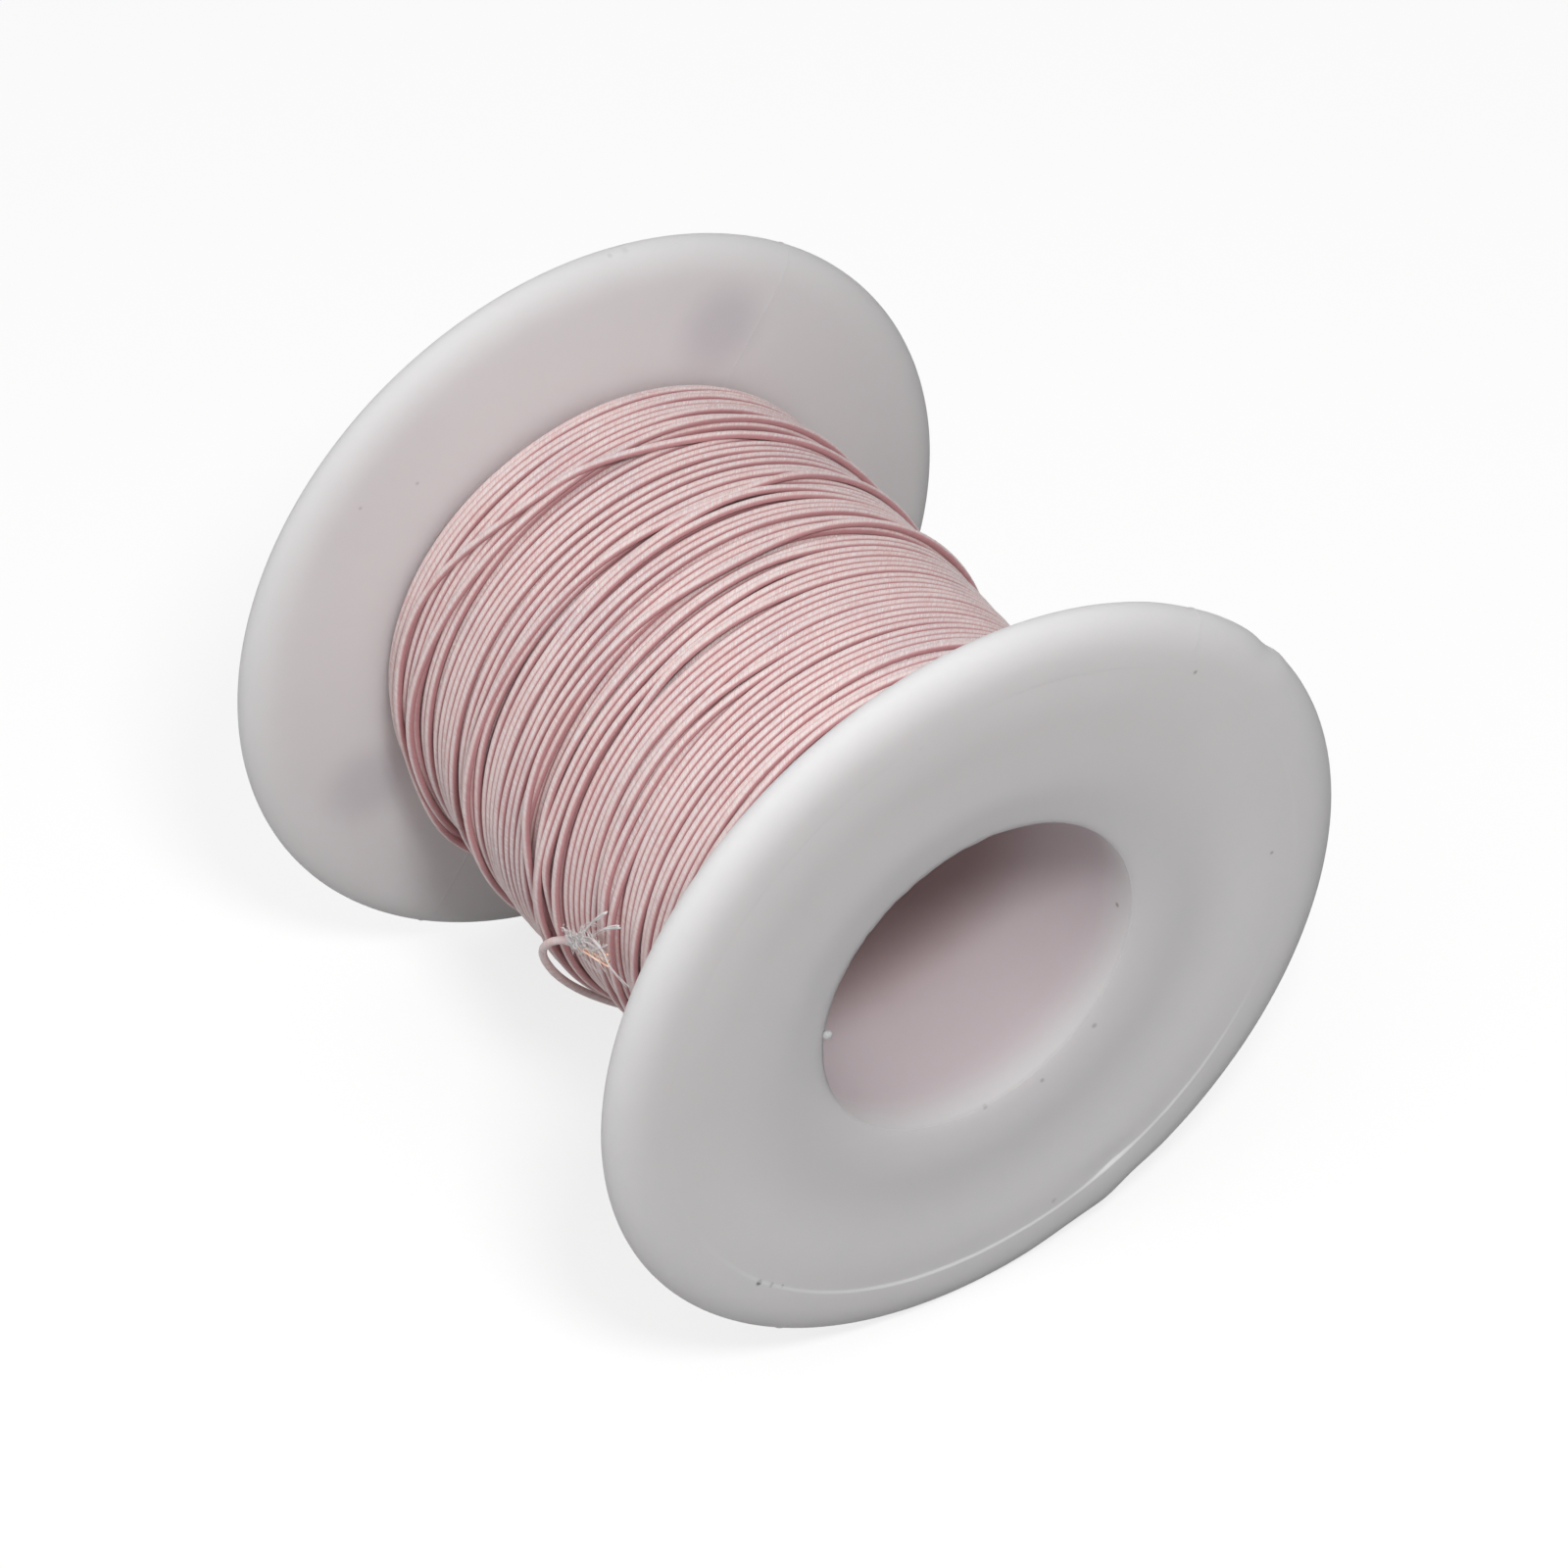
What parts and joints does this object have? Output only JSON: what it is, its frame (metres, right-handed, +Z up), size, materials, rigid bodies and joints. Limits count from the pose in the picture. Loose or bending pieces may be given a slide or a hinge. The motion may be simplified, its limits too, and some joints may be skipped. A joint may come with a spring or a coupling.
{
  "type": "wound wire spool",
  "caption": "Small flanged plastic spool with a through bore, wound with silk-covered stranded wire whose cut end hangs loose.",
  "frame": {"origin": "on the surface the spool lies on, under the middle of its length and under its bore", "axes": "+Z up; +Y along the bore, from the front flange at -Y to the far flange at +Y; +X to the side where the wire leaves the winding"},
  "size_m": [0.05, 0.0444, 0.05],
  "materials": {
    "milky_plastic": "translucent natural white, soft gloss",
    "silk_covered_wire": "pale pink silk lapping with a fine sheen",
    "bare_copper": "bright bare copper"
  },
  "bodies": {
    "root": {"spool_body": "milky_plastic", "winding_core": "silk_covered_wire", "winding_outer_turns": "silk_covered_wire", "loose_end": "silk_covered_wire", "copper_strands": "bare_copper"}
  },
  "joints": []
}
